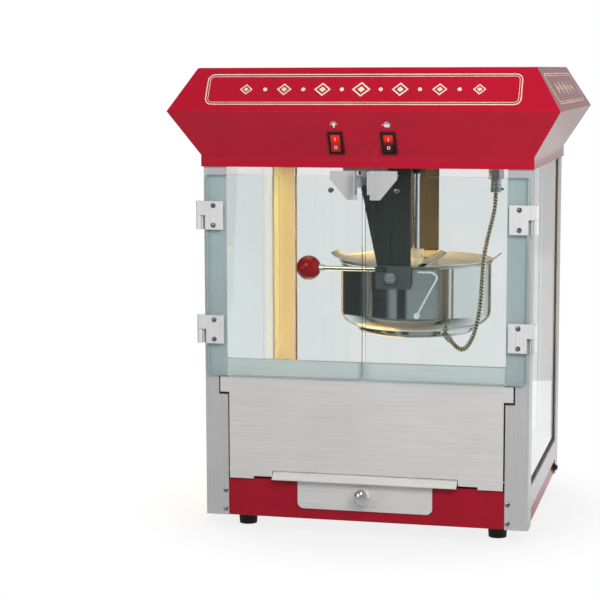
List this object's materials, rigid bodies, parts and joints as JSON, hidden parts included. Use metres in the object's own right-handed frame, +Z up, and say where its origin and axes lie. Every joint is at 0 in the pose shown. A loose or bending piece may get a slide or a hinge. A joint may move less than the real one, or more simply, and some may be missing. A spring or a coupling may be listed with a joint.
{
  "type": "popcorn machine",
  "caption": "Tabletop popcorn machine: glass cabinet with hinged doors, tilting kettle with stirrer and lids, kernel drawer, sheet-metal base and flared canopy.",
  "frame": {"origin": "on the floor, under the middle of the cabinet", "axes": "+Z up, +X to the right seen from the front, the doors face -Y"},
  "size_m": [0.494, 0.44, 0.599],
  "materials": {
    "red_enamel": "gloss enamel",
    "aluminium": "satin anodised",
    "brushed_steel": "brushed",
    "bright_steel": "polished",
    "dark_steel": "dark satin",
    "clear_glass": "clear",
    "black_rubber": "matt",
    "black_plastic": "satin",
    "red_lens": "clear tinted",
    "red_ball": "polished",
    "white_socket": "glazed",
    "warm_bulb": "frosted",
    "cast_metal": "cast"
  },
  "bodies": {
    "cabinet": {"base_pan": "red_enamel", "rubber_feet": "black_rubber", "cabinet_screws": "bright_steel", "drawer_runners": "brushed_steel", "deck_plate": "brushed_steel", "front_panel": "brushed_steel", "front_left_post": "aluminium", "front_right_post": "aluminium", "rear_left_post": "aluminium", "rear_right_post": "aluminium", "left_side_rail": "aluminium", "right_side_rail": "aluminium", "rear_rail": "aluminium", "front_cross_rail": "brushed_steel", "left_glass": "clear_glass", "right_glass": "clear_glass", "rear_glass": "clear_glass", "glazing_seals": "black_rubber", "canopy_shell": "red_enamel", "ceiling_plate": "brushed_steel", "kettle_yoke": "dark_steel", "gear_motor": "cast_metal", "lamp_holder": "white_socket", "lamp_bulb": "warm_bulb", "light_switch_frame": "black_plastic", "kettle_switch_frame": "black_plastic", "conduit_gland": "bright_steel", "conduit": "bright_steel", "post_hinge_leaves": "bright_steel", "hinge_pins": "bright_steel", "door_catch": "bright_steel", "cord_gland": "black_plastic"},
    "left_door": {"left_door_glass": "clear_glass", "left_door_leaves": "bright_steel", "left_strike": "bright_steel", "left_door_screws": "bright_steel"},
    "right_door": {"right_door_glass": "clear_glass", "right_door_leaves": "bright_steel", "right_strike": "bright_steel", "right_door_screws": "bright_steel"},
    "kettle": {"kettle_pot": "brushed_steel", "heater_cover": "brushed_steel", "heater_plate": "cast_metal", "kettle_gland": "bright_steel", "trunnion_pins": "bright_steel", "handle_hub": "brushed_steel", "handle_rod": "bright_steel", "handle_knob": "red_ball", "lid_bridge": "brushed_steel", "latch_wire": "bright_steel"},
    "left_lid": {"lid_left": "brushed_steel"},
    "right_lid": {"lid_right": "brushed_steel"},
    "stirrer": {"stirrer_shaft": "bright_steel", "stirrer_blades": "brushed_steel"},
    "drive": {"drive_coupling": "black_plastic"},
    "drawer": {"drawer_tray": "brushed_steel", "drawer_front": "brushed_steel", "drawer_knob": "bright_steel"},
    "light_rocker": {"light_switch_rocker": "red_lens"},
    "kettle_rocker": {"kettle_switch_rocker": "red_lens"}
  },
  "joints": [
    {"name": "left_door_swing", "type": "hinge", "parent": "cabinet", "child": "left_door", "pos_m": [-0.2157, -0.18715, 0.335], "axis": [0, 0, -1], "range_deg": [0, 175]},
    {"name": "right_door_swing", "type": "hinge", "parent": "cabinet", "child": "right_door", "pos_m": [0.2157, -0.18715, 0.335], "axis": [0, 0, 1], "range_deg": [0, 175]},
    {"name": "kettle_tilt", "type": "hinge", "parent": "cabinet", "child": "kettle", "pos_m": [0.021, 0, 0.3285], "axis": [0, -1, 0], "range_deg": [0, 90], "deforming": ["conduit"]},
    {"name": "left_lid_lift", "type": "hinge", "parent": "kettle", "child": "left_lid", "pos_m": [0.009, 0, 0.346], "axis": [0, 1, 0], "range_deg": [0, 85]},
    {"name": "right_lid_lift", "type": "hinge", "parent": "kettle", "child": "right_lid", "pos_m": [0.059, 0, 0.346], "axis": [0, -1, 0], "range_deg": [0, 85]},
    {"name": "stirrer_spin", "type": "hinge", "parent": "kettle", "child": "stirrer", "pos_m": [0.034, 0, 0.36], "axis": [0, 0, 1], "continuous": true},
    {"name": "drive_spin", "type": "hinge", "parent": "cabinet", "child": "drive", "pos_m": [0.034, 0, 0.49], "axis": [0, 0, 1], "continuous": true},
    {"name": "drawer_slide", "type": "slide", "parent": "cabinet", "child": "drawer", "axis": [0, -1, 0], "range_m": [0, 0.2]},
    {"name": "light_switch_rock", "type": "hinge", "parent": "cabinet", "child": "light_rocker", "pos_m": [-0.0335, -0.19345, 0.5076], "axis": [1, 0, 0], "range_deg": [0, 18]},
    {"name": "kettle_switch_rock", "type": "hinge", "parent": "cabinet", "child": "kettle_rocker", "pos_m": [0.0335, -0.19345, 0.5076], "axis": [1, 0, 0], "range_deg": [0, 18]}
  ],
  "couplings": [
    {"joint": "drive_spin", "follows": "stirrer_spin", "ratio": 1}
  ]
}
